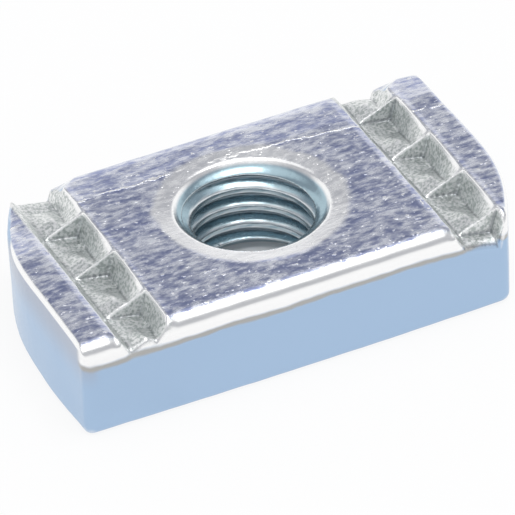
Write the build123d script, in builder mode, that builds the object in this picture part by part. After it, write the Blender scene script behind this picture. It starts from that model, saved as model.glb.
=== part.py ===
"""Channel nut for 41 mm strut: a short piece of flat bar with one tapped hole.

The long sides of the bar run along X and its flat underside lies on Z = 0. The axis of
the hole is the Z axis. Two grooves cross the top face, one over each lip of the channel,
and the slope in each groove carries a row of teeth that bite into the lip. Two opposite
corners are swept to an arc, so that the nut drops through the slot of the channel and
then turns a quarter turn until its square corners stop it.
"""

import os
from math import cos, pi, radians, sin, tan

from build123d import *

# Bar, in millimetres
length = 34.2
width = 20.0
thickness = 7.1
front_edge_radius = 1.35
back_edge_radius = 1.7
back_fall_start = 5.85
back_fall_angle = 4.0
under_edge_radius = 0.5
end_edge_radius = 0.45

# Square corners, and how far each swept corner reaches along the side and along the end
front_corner_radius = 0.6
back_corner_radius = 1.6
front_sweep_side = 2.65
front_sweep_end = 9.0
back_sweep_side = 3.7
back_sweep_end = 11.0
sweep_corner_radius = 0.8

# Tapped hole, M10 x 1.5
thread_diameter = 10.0
thread_pitch = 1.5
rim_lead_in = 0.45
under_rim_lead_in = 0.2

# Grooves, measured in X from each groove's own left lip
groove_centre = 12.47
groove_width = 3.9
groove_root = 0.85
groove_depth = 1.4

# Rounded mouths of the grooves: how far each reaches in, and how far its floor turns down
right_front_mouth_reach = 1.0
right_front_mouth_drop = 1.0
left_front_mouth_reach = 0.5
left_front_mouth_drop = 1.3
back_mouth_reach = 0.9
back_mouth_drop = 0.9
mouth_steps = 4

# Flare of each groove's far lip, which turns aside and down at the back
flare_spread = 2.0
flare_drop = 0.8
flare_reach = 2.0
flare_foot = 0.3

# Teeth, measured in Y from the upright face of one tooth to that of the next
tooth_pitch = 5.1
right_tooth_face = 6.65
left_tooth_face = 4.6
thinnest_tooth = 0.5
floor_length = 1.7
ramp_end = 3.75
pocket_depth = 1.9
pocket_wall_reach = 0.62
ramp_depth = 1.28
ramp_wall_reach = 1.0
crest_wall_reach = 1.55
crest_step = 0.25

# Height above the top face that every groove cutter clears
cutter_clearance = 2.0

half_length = length / 2
half_width = width / 2
back_fall = (half_width - back_fall_start) * tan(radians(back_fall_angle))

# A tapped hole is drilled to the thread's diameter less one pitch.
bore_radius = (thread_diameter - thread_pitch) / 2
rim_radius = thread_diameter / 2 + rim_lead_in
under_rim_radius = thread_diameter / 2 + under_rim_lead_in
rim_angle = 90.0

slope_rise = groove_depth / (groove_width - groove_root)
crest_across = groove_width - crest_wall_reach - crest_step
floor_slope = (pocket_depth - groove_depth) / (groove_width - pocket_wall_reach - groove_root)
right_groove_left = groove_centre - groove_width / 2
left_groove_left = -groove_centre - groove_width / 2


def on_slope(across):
    """Point of the toothed slope at a distance across the groove."""
    return (across, -slope_rise * (groove_width - across))


def groove_outline(floor_break, wall_foot):
    """Closed outline across a groove: steep wall, root, floor and the wall to the far lip."""
    return [
        (0.0, cutter_clearance),
        (0.0, 0.0),
        (groove_root, -groove_depth),
        floor_break,
        wall_foot,
        (groove_width, 0.0),
        (groove_width, cutter_clearance),
    ]


def lowered(outline, drop):
    """The same outline with all but its clearance points moved down."""
    return [(across, height if height > 0 else height - drop) for across, height in outline]


# A tooth space is deepest at the upright face of the tooth behind it. It keeps that depth
# along its floor and climbs a ramp to the crest of the tooth in front, where it is back on
# the slope. Its wall to the far lip is steepest at the deep end and eases toward the crest.
floor_break = (crest_across, -groove_depth - floor_slope * (crest_across - groove_root))
pocket_outline = groove_outline(floor_break, (groove_width - pocket_wall_reach, -pocket_depth))
ramp_outline = groove_outline(on_slope(crest_across), (groove_width - ramp_wall_reach, -ramp_depth))
crest_outline = groove_outline(on_slope(crest_across), on_slope(groove_width - crest_wall_reach))

tooth_stations = [
    (0.0, pocket_outline),
    (floor_length, pocket_outline),
    (ramp_end, ramp_outline),
    (tooth_pitch, crest_outline),
]


def space_outline(distance):
    """Outline of a tooth space at a distance in front of its upright face, or at that face."""
    reached = max(distance, 0.0)
    for (near, near_outline), (far, far_outline) in zip(tooth_stations, tooth_stations[1:]):
        if near <= reached <= far:
            share = (reached - near) / (far - near)
            return [
                (near_point[0] + share * (far_point[0] - near_point[0]),
                 near_point[1] + share * (far_point[1] - near_point[1]))
                for near_point, far_point in zip(near_outline, far_outline)
            ]
    return crest_outline


def mouth_stations(side_distance, reach, drop, outward):
    """Stations of a groove's open end, where its floor turns down in a quarter of an ellipse.

    The side distance runs from the upright face of the last tooth space to the side of the
    bar. Outward is 1 at the front of the bar and -1 at its back.
    """
    stations = []
    for step in range(mouth_steps + 1):
        turn = pi / 2 * step / mouth_steps
        inward = reach * (1 - cos(turn))
        outline = space_outline(side_distance - inward * outward)
        stations.append((-inward * outward, lowered(outline, drop * (1 - sin(turn)))))
    return stations


def flare_outline(spread, drop):
    """Outline that opens the wall of a groove toward a far lip moved aside and down."""
    foot_across = groove_width - pocket_wall_reach - flare_foot
    return [
        (foot_across, flare_foot - pocket_depth),
        (groove_width + spread, -drop),
        (groove_width + spread, cutter_clearance),
        (foot_across, cutter_clearance),
    ]


def cutter(stations):
    """Solid lofted through outlines that stand at distances in front of its own origin."""
    with BuildPart() as tool:
        for distance, outline in stations:
            with BuildSketch(Plane.XZ.offset(distance)):
                with BuildLine():
                    Polyline(*outline, close=True)
                make_face()
        loft(ruled=True)
    return tool.part


def tooth_faces(tooth_face):
    """Upright faces of the tooth spaces that fill one groove, from the back to the front.

    A tooth that would stand too thin at the back side of the bar is left out.
    """
    while tooth_face < half_width - thinnest_tooth:
        tooth_face += tooth_pitch
    faces = []
    while tooth_face > -half_width:
        faces.append(tooth_face)
        tooth_face -= tooth_pitch
    return faces


flare_stations = [
    (0.0, flare_outline(flare_spread, flare_drop)),
    (flare_reach, flare_outline(0.0, 0.0)),
]
tooth_space = cutter(tooth_stations)

with BuildPart() as channel_nut:
    # Plan of the bar, with its two swept corners
    with BuildSketch() as plan:
        with BuildLine():
            front = Line(
                (-half_length, -half_width),
                (half_length - front_sweep_side, -half_width),
            )
            right_end = Line(
                (half_length, front_sweep_end - half_width),
                (half_length, half_width),
            )
            front_sweep = TangentArc(right_end @ 0, front @ 1, tangent=(0, -1))
            back = Line(right_end @ 1, (back_sweep_side - half_length, half_width))
            left_end = Line((-half_length, half_width - back_sweep_end), front @ 0)
            back_sweep = TangentArc(left_end @ 0, back @ 1, tangent=(0, 1))
        make_face()
        fillet(plan.vertices().sort_by_distance(front @ 0)[0], front_corner_radius)
        fillet(plan.vertices().sort_by_distance(back @ 0)[0], back_corner_radius)
        for corner in (front @ 1, back @ 1):
            fillet(plan.vertices().sort_by_distance(corner)[0], sweep_corner_radius)
    extrude(amount=thickness)
    fillet(channel_nut.faces().sort_by(Axis.Z)[-1].edges(), end_edge_radius)
    fillet(channel_nut.faces().sort_by(Axis.Z)[0].edges(), under_edge_radius)

    # Section of the bar: a rounded front edge, and a back edge that falls away
    with BuildSketch(Plane.YZ) as bar_section:
        with BuildLine():
            Polyline(
                (-half_width, 0),
                (half_width, 0),
                (half_width, thickness - back_fall),
                (back_fall_start, thickness),
                (-half_width, thickness),
                close=True,
            )
        make_face()
        front_edge = bar_section.vertices().sort_by_distance((-half_width, thickness))[0]
        fillet(front_edge, front_edge_radius)
        back_edge = bar_section.vertices().sort_by_distance((half_width, thickness))[0]
        fillet(back_edge, back_edge_radius)
    extrude(amount=half_length, both=True, mode=Mode.INTERSECT)

    # Hole at the thread's drilled size, with a lead-in at both faces
    with Locations((0, 0, thickness)):
        CounterSinkHole(bore_radius, rim_radius, counter_sink_angle=rim_angle)
    with Locations(Plane.XY.rotated((180, 0, 0))):
        CounterSinkHole(bore_radius, under_rim_radius, counter_sink_angle=rim_angle)

    # Grooves, cut one tooth space at a time, and then their rounded mouths
    for groove_left, tooth_face, front_reach, front_drop in (
        (right_groove_left, right_tooth_face, right_front_mouth_reach, right_front_mouth_drop),
        (left_groove_left, left_tooth_face, left_front_mouth_reach, left_front_mouth_drop),
    ):
        faces = tooth_faces(tooth_face)
        with Locations(*[(groove_left, face, thickness) for face in faces]):
            add(tooth_space, mode=Mode.SUBTRACT)
        front_mouth = mouth_stations(faces[-1] + half_width, front_reach, front_drop, 1)
        with Locations((groove_left, -half_width, thickness)):
            add(cutter(front_mouth), mode=Mode.SUBTRACT)
        back_mouth = mouth_stations(faces[0] - half_width, back_mouth_reach, back_mouth_drop, -1)
        with Locations((groove_left, half_width, thickness)):
            add(cutter(back_mouth), mode=Mode.SUBTRACT)
            add(cutter(flare_stations), mode=Mode.SUBTRACT)

channel_nut.part.label = "channel_nut"
os.makedirs("parts", exist_ok=True)
export_step(channel_nut.part, "parts/channel_nut.step")
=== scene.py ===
"""Looks of a strut spring nut: a short zinc-plated bar with a tapped hole and toothed grooves.

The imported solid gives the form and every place. This file softens its edges, cuts the fine
thread into the plain bore, adds the unevenness of rolled and pressed steel, and dresses the
surface in bright zinc plating with a blue tint. Lengths are in millimetres until a mesh is
finished, and in metres from there on.
"""

import logging
import math
from dataclasses import dataclass, field

import bmesh
import bpy
import numpy as np
from mathutils import Matrix, Vector
from mathutils.kdtree import KDTree


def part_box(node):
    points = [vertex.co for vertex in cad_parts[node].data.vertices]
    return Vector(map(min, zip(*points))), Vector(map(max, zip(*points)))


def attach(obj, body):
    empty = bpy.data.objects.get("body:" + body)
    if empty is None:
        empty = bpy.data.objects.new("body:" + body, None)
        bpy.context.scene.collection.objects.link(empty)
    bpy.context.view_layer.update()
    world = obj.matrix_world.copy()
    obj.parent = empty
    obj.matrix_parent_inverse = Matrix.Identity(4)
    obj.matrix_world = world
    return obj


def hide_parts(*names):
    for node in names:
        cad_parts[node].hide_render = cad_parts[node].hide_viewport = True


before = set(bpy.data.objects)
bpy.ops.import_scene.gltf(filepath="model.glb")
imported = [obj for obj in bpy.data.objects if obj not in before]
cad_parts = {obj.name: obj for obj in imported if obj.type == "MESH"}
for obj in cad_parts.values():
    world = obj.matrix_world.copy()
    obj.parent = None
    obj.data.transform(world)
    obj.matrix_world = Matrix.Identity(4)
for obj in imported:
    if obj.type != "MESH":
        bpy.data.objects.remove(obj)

log = logging.getLogger("strut_spring_nut")

MM = 0.001
NODE = "channel_nut"

Color = tuple[float, float, float]
Span = tuple[float, float]


def smoothstep(low: float, high: float, value: np.ndarray) -> np.ndarray:
    """Ease from 0 at low to 1 at high.

    Args:
        low: where the result leaves 0.
        high: where the result reaches 1.
        value: numbers to ease.

    Returns:
        The eased numbers, between 0 and 1.
    """
    share = np.clip((value - low) / (high - low), 0.0, 1.0)
    return share * share * (3.0 - 2.0 * share)


class Signal:
    """An output socket of a shader node, with arithmetic that adds Math nodes."""

    def __init__(self, shader: "Shader", socket: bpy.types.NodeSocket) -> None:
        """Wrap one socket.

        Args:
            shader: the node tree's helper, which adds the nodes.
            socket: the output that carries the value.
        """
        self.shader = shader
        self.socket = socket

    def math(self, operation: str, *others: "Signal | float") -> "Signal":
        """Add one Math node.

        Args:
            operation: the node's operation, such as "MULTIPLY".
            others: the node's second and third values.

        Returns:
            The node's result.
        """
        values = {0: self} | {place + 1: other for place, other in enumerate(others)}
        return self.shader.node("ShaderNodeMath", values, {"operation": operation})

    def __add__(self, other: "Signal | float") -> "Signal":
        """Sum."""
        return self.math("ADD", other)

    __radd__ = __add__

    def __mul__(self, other: "Signal | float") -> "Signal":
        """Product."""
        return self.math("MULTIPLY", other)

    __rmul__ = __mul__

    def __sub__(self, other: "Signal | float") -> "Signal":
        """Difference."""
        return self.math("SUBTRACT", other)

    def __rsub__(self, other: float) -> "Signal":
        """Difference from a number."""
        return (self * -1.0) + other

    def above(self, low: float, high: float) -> "Signal":
        """Ease from 0 at low to 1 at high."""
        values = {"Value": self, "From Min": low, "From Max": high}
        return self.shader.node("ShaderNodeMapRange", values, {"interpolation_type": "SMOOTHSTEP"})

    def at_least(self, other: "Signal | float") -> "Signal":
        """Larger of the two values."""
        return self.math("MAXIMUM", other)


class Shader:
    """A node tree under construction."""

    def __init__(self, owner: bpy.types.Material | bpy.types.World) -> None:
        """Empty the owner's node tree.

        Args:
            owner: the material or world to be given nodes.
        """
        owner.use_nodes = True
        self.tree = owner.node_tree
        self.tree.nodes.clear()

    def node(
        self,
        kind: str,
        inputs: dict[str | int, object] | None = None,
        settings: dict[str, object] | None = None,
        output: str | int = 0,
    ) -> Signal:
        """Add one node.

        Args:
            kind: the node's type.
            inputs: a value or a Signal for each named or numbered socket.
            settings: the node's own options; "stops" fills a colour ramp.
            output: the socket to return.

        Returns:
            The chosen output.
        """
        made = self.tree.nodes.new(kind)
        for name, value in (settings or {}).items():
            if name == "stops":
                self._fill_ramp(made.color_ramp, value)
            else:
                setattr(made, name, value)
        for name, value in (inputs or {}).items():
            if isinstance(value, Signal):
                self.tree.links.new(value.socket, made.inputs[name])
            else:
                made.inputs[name].default_value = value
        return Signal(self, made.outputs[output] if len(made.outputs) else None)

    @staticmethod
    def _fill_ramp(ramp: bpy.types.ColorRamp, stops: list[tuple[float, Color]]) -> None:
        """Give a colour ramp its stops, which replace the two it starts with."""
        while len(ramp.elements) < len(stops):
            ramp.elements.new(1.0)
        for element, (place, color) in zip(ramp.elements, stops):
            element.position = place
            element.color = (*color, 1.0)

    def mix(self, factor: Signal | float, low: Signal | Color, high: Signal | Color) -> Signal:
        """Blend two colours.

        Args:
            factor: 0 for the first colour and 1 for the second.
            low: the first colour.
            high: the second colour.

        Returns:
            The blended colour.
        """
        colors = [c if isinstance(c, Signal) else (*c, 1.0) for c in (low, high)]
        inputs = {0: factor, 6: colors[0], 7: colors[1]}
        return self.node("ShaderNodeMix", inputs, {"data_type": "RGBA"}, output=2)

    def noise(
        self,
        grain: float,
        stretch: tuple[float, float, float] = (1.0, 1.0, 1.0),
        detail: float = 3.0,
        roughness: float = 0.55,
        shift: float = 0.0,
    ) -> Signal:
        """Noise in the nut's own space.

        Args:
            grain: size of the largest blotch, in millimetres.
            stretch: how much longer a blotch is along each axis.
            detail: octaves.
            roughness: share that each octave keeps.
            shift: moves the pattern, so that two layers differ.

        Returns:
            The noise value, around 0.5.
        """
        place = self.node("ShaderNodeTexCoord", output="Object")
        scale = tuple(1.0 / (grain * MM * along) for along in stretch)
        moved = self.node(
            "ShaderNodeMapping",
            {"Vector": place, "Scale": scale, "Location": (shift, shift * 1.7, shift * 2.3)},
        )
        values = {"Vector": moved, "Scale": 1.0, "Detail": detail, "Roughness": roughness}
        return self.node("ShaderNodeTexNoise", values, output="Fac")

    def place_in_mm(self) -> tuple[Signal, Signal, Signal]:
        """Coordinates in the nut's own space, in millimetres."""
        place = self.node("ShaderNodeTexCoord", output="Object")
        scaled = self.node("ShaderNodeVectorMath", {0: place, "Scale": 1.0 / MM}, {"operation": "SCALE"})
        parts = [self.node("ShaderNodeSeparateXYZ", {0: scaled}, output=axis) for axis in "XYZ"]
        return tuple(parts)

    def levelness(self) -> Signal:
        """How level the surface is: 1 where it faces straight up or down, and 0 where upright."""
        normal = self.node("ShaderNodeTexCoord", output="Normal")
        return self.node("ShaderNodeSeparateXYZ", {0: normal}, output="Z").math("ABSOLUTE")

    def mask(self, name: str) -> Signal:
        """Value of one of the mesh's own painted masks."""
        return self.node("ShaderNodeAttribute", settings={"attribute_name": name}, output="Fac")


@dataclass(frozen=True)
class Grain:
    """One layer of noise: its size in millimetres, how much it is drawn out along X, its octaves,
    the shift of its pattern and the share that each octave keeps."""

    size: float
    stretch: float
    detail: float
    shift: float
    roughness: float = 0.55

    def lay(self, shader: Shader) -> Signal:
        """Add the layer to a node tree."""
        return shader.noise(self.size, (self.stretch, 1.0, 1.0), self.detail, self.roughness, self.shift)


@dataclass(frozen=True)
class Crease:
    """Thin crease where the back of the top face starts to fall, in millimetres; its bright line is a
    painted highlight.

    It runs along X at its place in Y, and past its bend it drifts to the front.
    """

    place: float = 5.85
    bend: float = 2.0
    drift: float = 0.13
    width: float = 0.10
    wander: float = 1.3
    wandering: Grain = Grain(2.2, 1.0, 4.0, 31.0, roughness=0.7)
    breaks: Grain = Grain(0.8, 3.0, 2.0, 37.0)
    break_span: Span = (0.36, 0.50)

    def mask(self, shader: Shader, x: Signal, y: Signal) -> Signal:
        """Mask of the crease.

        Args:
            shader: the node tree's helper.
            x: place along the bar.
            y: place across the bar.

        Returns:
            The mask.
        """
        wander = (self.wandering.lay(shader) - 0.5) * self.wander
        drift = (x - self.bend).at_least(0.0) * self.drift
        offset = (y - self.place + drift + wander).math("ABSOLUTE")
        broken = self.breaks.lay(shader).above(*self.break_span)
        return (1.0 - offset.above(self.width * 0.5, self.width)) * broken


@dataclass(frozen=True)
class ZincPlate:
    """Bright zinc plating with a blue passivated tint, on rolled and pressed steel, with painted highlights
    on its edges, hole rim, specks, crease and ridges and painted shade in its crevices.

    A span says where a mask leaves 0 and where it reaches 1. Places are in millimetres.
    """

    name: str = "zinc_plate"
    slate: Color = (0.30, 0.34, 0.54)
    lilac: Color = (0.86, 0.88, 0.95)
    side_blue: Color = (0.40, 0.54, 0.73)
    end_lilac: Color = (0.42, 0.47, 0.57)
    silver: Color = (0.90, 0.91, 0.91)
    dull_silver: Color = (0.50, 0.54, 0.53)
    # near-white colour of the painted highlights on the edges, the hole's rim, the specks, the crease and
    # the ridges
    highlight_white: Color = (0.97, 0.97, 0.97)
    edge_grey: Color = (0.44, 0.44, 0.43)
    teal: Color = (0.40, 0.54, 0.61)
    # dark colour of the painted shade in the crevices
    crevice: Color = (0.20, 0.22, 0.24)
    metallic: float = 0.95

    mottle: Grain = Grain(0.42, 2.2, 4.0, 3.0, roughness=0.65)
    patch: Grain = Grain(2.4, 1.8, 3.0, 7.0)
    fine: Grain = Grain(0.22, 1.0, 3.0, 11.0, roughness=0.6)
    speck: Grain = Grain(0.30, 1.4, 1.5, 17.0)
    scratch: Grain = Grain(0.30, 9.0, 4.0, 23.0)
    crease: Crease = Crease()

    level_span: Span = (0.80, 0.95)
    rolled_span: Span = (0.36, 0.64)
    speck_span: Span = (0.66, 0.72)
    silver_span: Span = (0.38, 0.60)
    left_end_span: Span = (15.8, 16.6)
    left_end_height: Span = (3.5, 6.5)
    long_side_span: Span = (8.7, 9.5)
    long_edge_height: Span = (5.5, 5.8)
    end_edge_height: Span = (6.6, 6.75)
    band_height: Span = (5.1, 5.35)
    height_unevenness: float = 0.8
    bore_span: Span = (5.05, 5.3)
    ring_inside: Span = (5.0, 5.2)
    ring_outside: Span = (6.5, 7.0)
    ring_unevenness: float = 1.2
    ring_height: Span = (6.0, 6.4)

    # share of the painted highlight on the ring around the hole
    ring_highlight: float = 0.9
    # share of the painted glints on the specks of the level faces
    speck_glint: float = 0.85
    # share of the painted highlight along the ridges
    ridge_highlight: float = 0.7
    # share of the painted shade in the crevices
    crevice_shade: float = 0.75

    plain_roughness: float = 0.24
    mottle_roughness: float = 0.5
    scratch_roughness: float = 0.12
    pressed_roughness: float = 0.12

    mottle_relief: float = 0.9
    speck_relief: float = 0.8
    crease_relief: float = 1.5
    pressed_relief: float = 1.2
    scratch_relief: float = 0.25
    patch_relief: float = 0.6
    bump_strength: float = 0.40
    bump_depth: float = 0.05

    def material(self) -> bpy.types.Material:
        """Build the material.

        Returns:
            The finished material.
        """
        made = bpy.data.materials.new(self.name)
        shader = Shader(made)
        pressed = shader.mask("pressed")
        # painted highlight along the ridges, from the mesh's curvature
        ridge = shader.mask("ridge")
        # painted shade in the crevices, from the mesh's curvature
        crevice = shader.mask("crevice")
        x, y, z = shader.place_in_mm()
        radius = (x * x + y * y).math("SQRT")
        level = shader.levelness().above(*self.level_span)
        upright = 1.0 - level

        mottle = self.mottle.lay(shader)
        patch = self.patch.lay(shader)
        fine = self.fine.lay(shader)
        # the specks are painted glints in the colour, and they are also raised in the bump
        speck = self.speck.lay(shader).above(*self.speck_span)
        scratch = self.scratch.lay(shader)
        # the crease's bright line is a painted highlight, and the crease is also raised in the bump
        crease = self.crease.mask(shader, x, y) * level * (1.0 - pressed)

        rolled = shader.mix(
            (mottle * 0.7 + patch * 0.3).above(*self.rolled_span), self.slate, self.lilac
        )
        left_end = (x * -1.0).above(*self.left_end_span) * z.above(*self.left_end_height)
        side = shader.mix(left_end, self.side_blue, self.end_lilac)
        silver = shader.mix(fine.above(*self.silver_span), self.dull_silver, self.silver)

        long_side = y.math("ABSOLUTE").above(*self.long_side_span)
        height = z + (patch - 0.5) * self.height_unevenness
        long_edge = long_side * height.above(*self.long_edge_height)
        # painted highlight: the upper edge of every side is painted near-white
        edge = long_edge.at_least(z.above(*self.end_edge_height)) * upright
        band = long_side * height.above(*self.band_height) * (1.0 - edge) * upright
        bore = 1.0 - radius.above(*self.bore_span)
        # painted highlight: a near-white ring around the hole's rim
        past_ring = (radius + (patch - 0.5) * self.ring_unevenness).above(*self.ring_outside)
        ring = radius.above(*self.ring_inside) * (1.0 - past_ring) * z.above(*self.ring_height)

        color = shader.mix(level, side, rolled)
        # several of these layers are painted highlights, and the last is painted shade in the crevices
        for share, layer in (
            (band, self.edge_grey),
            (edge, self.highlight_white),
            (ring * self.ring_highlight, self.highlight_white),
            (speck * level * self.speck_glint, self.highlight_white),
            (crease, self.highlight_white),
            (pressed, silver),
            (bore, self.teal),
            (ridge * self.ridge_highlight, self.highlight_white),
            (crevice * self.crevice_shade, self.crevice),
        ):
            color = shader.mix(share, color, layer)

        roughness = (mottle - 0.5) * level * self.mottle_roughness + (scratch - 0.5) * self.scratch_roughness
        roughness = roughness + pressed * self.pressed_roughness + self.plain_roughness
        rolled_relief = mottle * self.mottle_relief + speck * self.speck_relief + crease * self.crease_relief
        side_relief = scratch * self.scratch_relief + patch * self.patch_relief
        relief = level * rolled_relief + pressed * fine * self.pressed_relief + upright * side_relief
        bump = shader.node(
            "ShaderNodeBump",
            {"Height": relief, "Strength": self.bump_strength, "Distance": self.bump_depth * MM},
            output="Normal",
        )
        surface = shader.node(
            "ShaderNodeBsdfPrincipled",
            {
                "Base Color": color,
                "Metallic": self.metallic,
                "Roughness": roughness,
                "Normal": bump,
            },
        )
        shader.node("ShaderNodeOutputMaterial", {"Surface": surface})
        return made


@dataclass
class Thread:
    """Right-hand inside thread, cut into the wall of the plain bore.

    The helix climbs by one pitch in each turn counterclockwise, seen from above.
    """

    pitch: float = 1.5
    major_radius: float = 5.0
    bore_radius: float = 4.25
    root_flat: float = 0.19
    flank_slope: float = math.tan(math.radians(30.0))
    start_turn: float = 0.30
    reach: float = 0.1

    def radius(self, turn: np.ndarray, height: np.ndarray) -> np.ndarray:
        """Radius of the thread's surface.

        Args:
            turn: angle about the hole, in radians.
            height: height above the underside, in millimetres.

        Returns:
            The radius at each angle and height.
        """
        phase = height / self.pitch - turn / (2.0 * math.pi) + self.start_turn
        from_root = np.abs(phase - np.round(phase)) * self.pitch
        depth = (from_root - self.root_flat / 2.0) / self.flank_slope
        sharp = self.major_radius - np.clip(depth, 0.0, None)
        return np.maximum(sharp, self.bore_radius)

    def cut(self, points: np.ndarray) -> None:
        """Push the wall of the bore out to the thread, in place.

        Args:
            points: the mesh's points.
        """
        radius = np.hypot(points[:, 0], points[:, 1])
        near = radius < self.major_radius + self.reach
        turn = np.arctan2(points[near, 1], points[near, 0])
        target = np.maximum(radius[near], self.radius(turn, points[near, 2]))
        points[near, :2] *= (target / radius[near])[:, None]


@dataclass
class NutBody:
    """The bar of the nut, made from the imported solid."""

    node: str = NODE
    voxel: float = 0.095
    soften_steps: int = 1
    triangle_limit: int = 195_000
    groove_centre: float = 12.47
    groove_width: float = 3.9
    rim_radius: float = 5.45
    dish_radius: float = 6.9
    dish_slope: float = 0.115
    lip_burr: float = 0.08
    lip_fall: float = 0.12
    lip_reach: float = 0.5
    left_bulge: float = 0.42
    left_bulge_back: float = 0.12
    left_bulge_place: float = -4.5
    left_bulge_width: float = 5.0
    front_bulge: float = 0.22
    back_left_sag: float = 0.70
    back_right_sag: float = 0.25
    waves: tuple[tuple[float, float, int], ...] = ((7.0, 0.016, 8), (2.6, 0.007, 14), (1.1, 0.0025, 16))
    wave_seed: int = 7
    curvature_steps: int = 5
    curvature_range: tuple[float, float] = (0.006, 0.022)
    thread: Thread = field(default_factory=Thread)
    finish: ZincPlate = field(default_factory=ZincPlate)

    def __post_init__(self) -> None:
        """Read the bar's own box, in millimetres."""
        low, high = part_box(self.node)
        self.low = np.array(low) / MM
        self.high = np.array(high) / MM

    def fine_mesh(self) -> bpy.types.Mesh:
        """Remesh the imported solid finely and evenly.

        Returns:
            A new mesh in millimetres.
        """
        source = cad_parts[self.node].data.copy()
        source.transform(Matrix.Scale(1.0 / MM, 4))
        shape = bmesh.new()
        shape.from_mesh(source)
        bmesh.ops.remove_doubles(shape, verts=shape.verts, dist=1e-4)
        shape.to_mesh(source)
        shape.free()
        return self.modified(source, "REMESH", mode="VOXEL", voxel_size=self.voxel)

    @staticmethod
    def modified(mesh: bpy.types.Mesh, kind: str, **settings: object) -> bpy.types.Mesh:
        """Run one modifier on a mesh.

        Args:
            mesh: the mesh, which is used up.
            kind: the modifier's type.
            settings: the modifier's options.

        Returns:
            The result, as a new mesh.
        """
        helper = bpy.data.objects.new("helper", mesh)
        bpy.context.scene.collection.objects.link(helper)
        modifier = helper.modifiers.new(kind, kind)
        for name, value in settings.items():
            setattr(modifier, name, value)
        graph = bpy.context.evaluated_depsgraph_get()
        result = bpy.data.meshes.new_from_object(helper.evaluated_get(graph))
        bpy.data.objects.remove(helper)
        bpy.data.meshes.remove(mesh)
        return result

    @staticmethod
    def points_of(mesh: bpy.types.Mesh) -> np.ndarray:
        """Points of a mesh, one in each row."""
        flat = np.empty(len(mesh.vertices) * 3)
        mesh.vertices.foreach_get("co", flat)
        return flat.reshape(-1, 3)

    @staticmethod
    def soften(mesh: bpy.types.Mesh, points: np.ndarray, steps: int) -> None:
        """Round the edges by moving each point towards its neighbours, in place.

        Args:
            mesh: the mesh, for its edges.
            points: the mesh's points.
            steps: how many times each point moves half way.
        """
        ends = np.empty(len(mesh.edges) * 2, dtype=np.int64)
        mesh.edges.foreach_get("vertices", ends)
        first, second = ends.reshape(-1, 2).T
        count = np.bincount(ends, minlength=len(points))
        for _ in range(steps):
            for axis in range(3):
                total = np.bincount(first, points[second, axis], len(points))
                total += np.bincount(second, points[first, axis], len(points))
                points[:, axis] += 0.5 * (total / count - points[:, axis])

    def undulate(self, points: np.ndarray) -> None:
        """Give the faces the slight waviness of rolled and pressed steel, in place.

        Each kind of wave has a length, a height and a count.
        """
        random = np.random.default_rng(self.wave_seed)
        for length, height, count in self.waves:
            shift = np.zeros_like(points)
            for _ in range(count):
                direction = random.normal(size=3)
                direction /= np.linalg.norm(direction)
                phase = points @ direction * (2.0 * math.pi / length) + random.uniform(0, 6.28)
                shift += np.sin(phase)[:, None] * random.normal(size=3)
            points += shift * (height / math.sqrt(count))

    def dish(self, points: np.ndarray) -> None:
        """Let the top face fall gently toward the hole, in place."""
        x, y, z = points.T
        turn = np.arctan2(y, x)
        edge = self.dish_radius + 0.15 * np.sin(3.0 * turn + 1.0) + 0.10 * np.sin(7.0 * turn)
        reach = np.clip(edge - np.maximum(np.hypot(x, y), self.rim_radius), 0.0, None)
        top = smoothstep(self.high[2] - 0.9, self.high[2] - 0.3, z)
        points[:, 2] = z - reach * self.dish_slope * top

    def roll_lips(self, points: np.ndarray) -> None:
        """Roll each groove's near lip down and raise a burr on its far lip, in place."""
        x, y, z = points.T
        top = smoothstep(self.high[2] - 0.8, self.high[2] - 0.2, z)
        for centre in (-self.groove_centre, self.groove_centre):
            before = centre - self.groove_width / 2 - x
            after = x - centre - self.groove_width / 2
            fall = np.clip(1.0 - np.abs(before) / self.lip_reach, 0.0, None)
            burr = np.clip(1.0 - np.abs(after) / self.lip_reach, 0.0, None)
            points[:, 2] += top * (self.lip_burr * burr - self.lip_fall * fall)

    def bulge_and_sag(self, points: np.ndarray) -> None:
        """Let the left end and the front bulge and the back corners sag, in place."""
        x, y, z = points.T
        upper = z / self.high[2]
        lower = 1.0 - upper
        along = (y - self.left_bulge_place) / self.left_bulge_width
        left = smoothstep(-14.0, -16.9, x) * np.exp(-(along**2))
        front = smoothstep(-8.6, -9.9, y) * (1.0 - (x / self.high[0]) ** 2)
        back_left = smoothstep(-13.6, -15.4, x) * smoothstep(1.0, 8.0, y)
        back_right = smoothstep(14.0, 17.1, x) * smoothstep(6.0, 10.0, y)
        sag = self.back_left_sag * back_left + self.back_right_sag * back_right
        points[:, 2] = z - upper * sag
        points[:, 0] = x - left * (self.left_bulge * lower - self.left_bulge_back)
        points[:, 1] = y - front * self.front_bulge * lower

    def curvature(self, mesh: bpy.types.Mesh, points: np.ndarray) -> np.ndarray:
        """How far each point stands out from its surroundings.

        Args:
            mesh: the even mesh, whose points are in place.
            points: the same points, one in each row.

        Returns:
            The height over the surroundings, positive on a ridge and negative in a crevice.
        """
        relaxed = points.copy()
        self.soften(mesh, relaxed, self.curvature_steps)
        return np.einsum("ij,ij->i", points - relaxed, self.normals_of(mesh))

    @staticmethod
    def normals_of(mesh: bpy.types.Mesh) -> np.ndarray:
        """Normals of a mesh's points, one in each row."""
        flat = np.empty(len(mesh.vertices) * 3)
        mesh.vertices.foreach_get("normal", flat)
        return flat.reshape(-1, 3)

    @staticmethod
    def nearest(points: np.ndarray, wanted: np.ndarray) -> np.ndarray:
        """Number of the nearest point.

        Args:
            points: the points to choose from.
            wanted: the places to look near.

        Returns:
            One number for each wanted place.
        """
        tree = KDTree(len(points))
        for number, point in enumerate(points):
            tree.insert(point, number)
        tree.balance()
        return np.array([tree.find(place)[1] for place in wanted])

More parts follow.
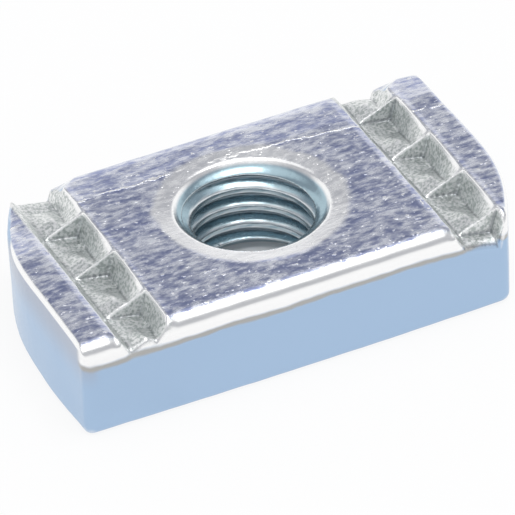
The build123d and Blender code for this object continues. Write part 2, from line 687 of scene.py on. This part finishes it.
    def pressed_share(self, points: np.ndarray) -> np.ndarray:
        """Mask of the grooves' insides."""
        x, y, z = points.T
        across = np.abs(np.abs(x) - self.groove_centre)
        depth = self.high[2] - z
        inside = 1.0 - smoothstep(self.groove_width / 2 - 0.05, self.groove_width / 2 + 0.1, across)
        inside *= 1.0 - smoothstep(9.5, 9.9, np.abs(y))
        return inside * smoothstep(0.12, 0.3, depth) * (1.0 - smoothstep(2.4, 2.8, depth))

    def paint(self, mesh: bpy.types.Mesh, even: np.ndarray, curvature: np.ndarray) -> None:
        """Store the masks that the finish reads.

        Args:
            mesh: the finished mesh, in millimetres.
            even: the points of the even mesh.
            curvature: the curvature at each of those points.
        """
        points = self.points_of(mesh)
        found = curvature[self.nearest(even, points)]
        # ridge and crevice mark where the finish paints highlight and shade
        masks = {
            "pressed": self.pressed_share(points),
            "ridge": smoothstep(*self.curvature_range, found),
            "crevice": smoothstep(*self.curvature_range, -found),
        }
        for name, values in masks.items():
            layer = mesh.attributes.new(name, "FLOAT", "POINT")
            layer.data.foreach_set("value", values.astype(np.float32))

    def build(self) -> bpy.types.Object:
        """Make the visible nut.

        Returns:
            The finished piece, riding on the frame.
        """
        mesh = self.fine_mesh()
        points = self.points_of(mesh)
        self.thread.cut(points)
        self.soften(mesh, points, self.soften_steps)
        self.dish(points)
        self.roll_lips(points)
        self.bulge_and_sag(points)
        self.undulate(points)
        mesh.vertices.foreach_set("co", points.ravel())
        mesh.update()
        curvature = self.curvature(mesh, points)
        triangles = sum(len(face.vertices) - 2 for face in mesh.polygons)
        ratio = self.triangle_limit / triangles
        if ratio < 1.0:
            mesh = self.modified(mesh, "DECIMATE", ratio=ratio)
        mesh.polygons.foreach_set("use_smooth", [True] * len(mesh.polygons))
        self.paint(mesh, points, curvature)
        mesh.transform(Matrix.Scale(MM, 4))
        mesh.update()
        nut = bpy.data.objects.new("nut_body", mesh)
        bpy.context.scene.collection.objects.link(nut)
        mesh.materials.clear()
        mesh.materials.append(self.finish.material())
        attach(nut, "root")
        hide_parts(self.node)
        return nut


@dataclass
class Studio:
    """Floor, lamp, world and camera.

    The camera's aim and distance are in millimetres, and its angles in degrees. The world's
    edges are heights of a direction's unit vector. The floor's and the lamp's places are in
    metres.
    """

    floor_reach: float = 3.0
    aim: tuple[float, float, float] = (-0.451, -1.529, 3.55)
    distance: float = 382.3
    azimuth: float = -23.482
    elevation: float = 36.045
    roll: float = -3.319
    lens: float = 390.3
    grey: Color = (0.40, 0.41, 0.44)
    white_below: float = 0.42
    grey_from: float = 0.53
    grey_to: float = 0.76
    white_above: float = 0.84
    shadow_core: float = 0.004
    shadow_edge: float = 0.010
    floor_color: Color = (0.86, 0.86, 0.87)
    near_share: float = 0.88
    far_start: float = 0.03
    far_end: float = 0.07
    lamp_place: tuple[float, float, float] = (0.10, -0.05, 0.80)
    lamp_size: float = 0.45
    lamp_power: float = 2.5

    def build(self) -> None:
        """Set up everything around the nut."""
        scene = bpy.context.scene
        scene.view_settings.view_transform = "Standard"
        self.build_floor()
        self.build_world(scene)
        self.build_lamp()
        self.build_camera(scene)

    def build_floor(self) -> None:
        """Lay a white floor that keeps the nut's soft shadow."""
        reach = self.floor_reach
        mesh = bpy.data.meshes.new("floor")
        corners = [(-reach, -reach, 0.0), (reach, -reach, 0.0), (reach, reach, 0.0), (-reach, reach, 0.0)]
        mesh.from_pydata(corners, [], [(0, 1, 2, 3)])
        floor = bpy.data.objects.new("floor", mesh)
        bpy.context.scene.collection.objects.link(floor)
        made = bpy.data.materials.new("floor")
        shader = Shader(made)
        camera = shader.node("ShaderNodeLightPath", output="Is Camera Ray")
        glossy = shader.node("ShaderNodeLightPath", output="Is Glossy Ray")
        lit = shader.node("ShaderNodeBsdfDiffuse", {"Color": (*self.floor_color, 1.0)})
        white = shader.node("ShaderNodeEmission", {"Color": (1.0, 1.0, 1.0, 1.0), "Strength": 1.0})
        place = shader.node("ShaderNodeTexCoord", output="Object")
        away = shader.node("ShaderNodeVectorMath", {0: place}, {"operation": "LENGTH"}, output="Value")
        near = away.above(self.shadow_core, self.shadow_edge) * self.near_share
        share = camera.at_least(glossy) * near.at_least(away.above(self.far_start, self.far_end))
        both = shader.node("ShaderNodeMixShader", {0: share, 1: lit, 2: white})
        shader.node("ShaderNodeOutputMaterial", {"Surface": both})
        mesh.materials.append(made)

    def build_world(self, scene: bpy.types.Scene) -> None:
        """Surround the nut with a white horizon, a grey ring above it and white overhead."""
        world = bpy.data.worlds.new("studio")
        scene.world = world
        shader = Shader(world)
        direction = shader.node("ShaderNodeTexCoord", output="Generated")
        rise = shader.node("ShaderNodeSeparateXYZ", {"Vector": direction}, output="Z")
        white = (1.0, 1.0, 1.0)
        stops = [
            (self.white_below, white),
            (self.grey_from, self.grey),
            (self.grey_to, self.grey),
            (self.white_above, white),
        ]
        color = shader.node("ShaderNodeValToRGB", {"Fac": rise}, {"stops": stops})
        background = shader.node("ShaderNodeBackground", {"Color": color, "Strength": 1.0})
        shader.node("ShaderNodeOutputWorld", {"Surface": background})

    def build_lamp(self) -> None:
        """Hang one square lamp that faces the nut, in metres and watts."""
        light = bpy.data.lights.new("overhead", "AREA")
        light.size = self.lamp_size
        light.energy = self.lamp_power
        lamp = bpy.data.objects.new("overhead", light)
        lamp.location = self.lamp_place
        lamp.rotation_euler = (-Vector(self.lamp_place)).to_track_quat("-Z", "Y").to_euler()
        bpy.context.scene.collection.objects.link(lamp)

    def build_camera(self, scene: bpy.types.Scene) -> None:
        """Place the camera."""
        camera = bpy.data.cameras.new("camera")
        camera.lens = self.lens
        camera.clip_start = 0.01
        turn = Matrix.Rotation(math.radians(self.azimuth), 4, "Z")
        tilt = Matrix.Rotation(math.radians(90.0 - self.elevation), 4, "X")
        roll = Matrix.Rotation(math.radians(self.roll), 4, "Z")
        pose = turn @ tilt @ roll
        back = pose.to_3x3() @ Vector((0.0, 0.0, 1.0))
        pose.translation = (Vector(self.aim) + back * self.distance) * MM
        holder = bpy.data.objects.new("camera", camera)
        holder.matrix_world = pose
        scene.collection.objects.link(holder)
        scene.camera = holder


def main() -> None:
    """Build the nut and its studio."""
    logging.basicConfig(level=logging.INFO)
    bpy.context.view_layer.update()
    nut = NutBody().build()
    log.info("%s: %d triangles", nut.name, len(nut.data.polygons))
    Studio().build()


if __name__ == "__main__":
    main()
